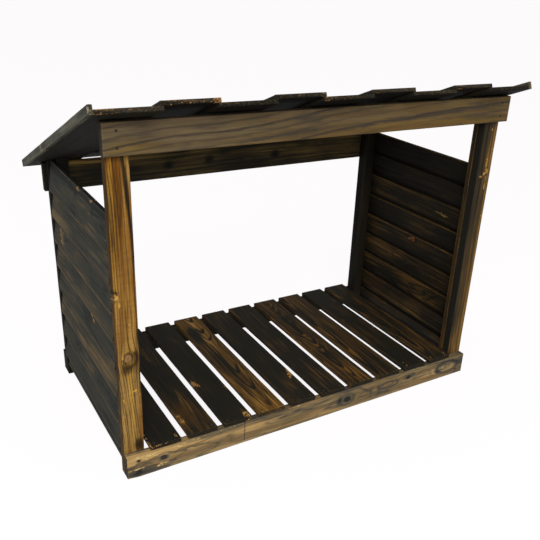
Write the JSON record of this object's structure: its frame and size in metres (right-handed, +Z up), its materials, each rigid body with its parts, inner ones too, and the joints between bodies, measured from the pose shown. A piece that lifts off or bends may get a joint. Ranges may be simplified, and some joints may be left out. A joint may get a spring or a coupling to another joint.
{
  "type": "log store",
  "caption": "Open-fronted timber log store with a slatted floor, lapped board sides, low end rails and a lean-to roof of overlapping boards falling to the back.",
  "frame": {"origin": "on the ground under the middle of the roof, which is the middle of the whole width and depth", "axes": "+X along the width to the right as seen from the open front, +Y to the back, +Z up"},
  "size_m": [1.149, 0.6828, 0.8893],
  "materials": {
    "roof_board": "scorched softwood, brushed, charred grain",
    "verge_strip": "scorched softwood, weathered grey-green",
    "header": "scorched softwood, brushed, dark wavy grain",
    "rail": "lightly scorched softwood, brushed, tan with dark knots",
    "post": "lightly scorched softwood, brushed, orange-brown with dark grain",
    "batten": "scorched softwood, rough sawn",
    "floor_slat": "heavily scorched softwood, brushed, near-black with brown streaks",
    "side_board": "scorched softwood, charcoal grey with brown edges",
    "nail": "galvanised wire nails, dull heads"
  },
  "bodies": {
    "root": {"batten_back_left": "batten", "batten_back_right": "batten", "batten_front_left": "batten", "batten_front_right": "batten", "floor_slat_01": "floor_slat", "floor_slat_02": "floor_slat", "floor_slat_03": "floor_slat", "floor_slat_04": "floor_slat", "floor_slat_05": "floor_slat", "floor_slat_06": "floor_slat", "floor_slat_07": "floor_slat", "floor_slat_08": "floor_slat", "floor_slat_09": "floor_slat", "floor_slat_10": "floor_slat", "header_back": "header", "header_front": "header", "post_back_left": "post", "post_back_right": "post", "post_front_left": "post", "post_front_right": "post", "rail_back": "rail", "rail_front": "rail", "roof_lower_1": "roof_board", "roof_lower_2": "roof_board", "roof_lower_3": "roof_board", "roof_lower_4": "roof_board", "roof_lower_5": "roof_board", "roof_upper_1": "roof_board", "roof_upper_2": "roof_board", "roof_upper_3": "roof_board", "roof_upper_4": "roof_board", "side_left_board_1": "side_board", "side_left_board_2": "side_board", "side_left_board_3": "side_board", "side_left_board_4": "side_board", "side_left_board_5": "side_board", "side_left_board_6": "side_board", "side_left_board_7": "side_board", "side_left_board_8": "side_board", "side_left_board_9": "side_board", "side_right_board_1": "side_board", "side_right_board_2": "side_board", "side_right_board_3": "side_board", "side_right_board_4": "side_board", "side_right_board_5": "side_board", "side_right_board_6": "side_board", "side_right_board_7": "side_board", "side_right_board_8": "side_board", "side_right_board_9": "side_board", "verge_left": "verge_strip", "verge_right": "verge_strip"}
  },
  "joints": []
}
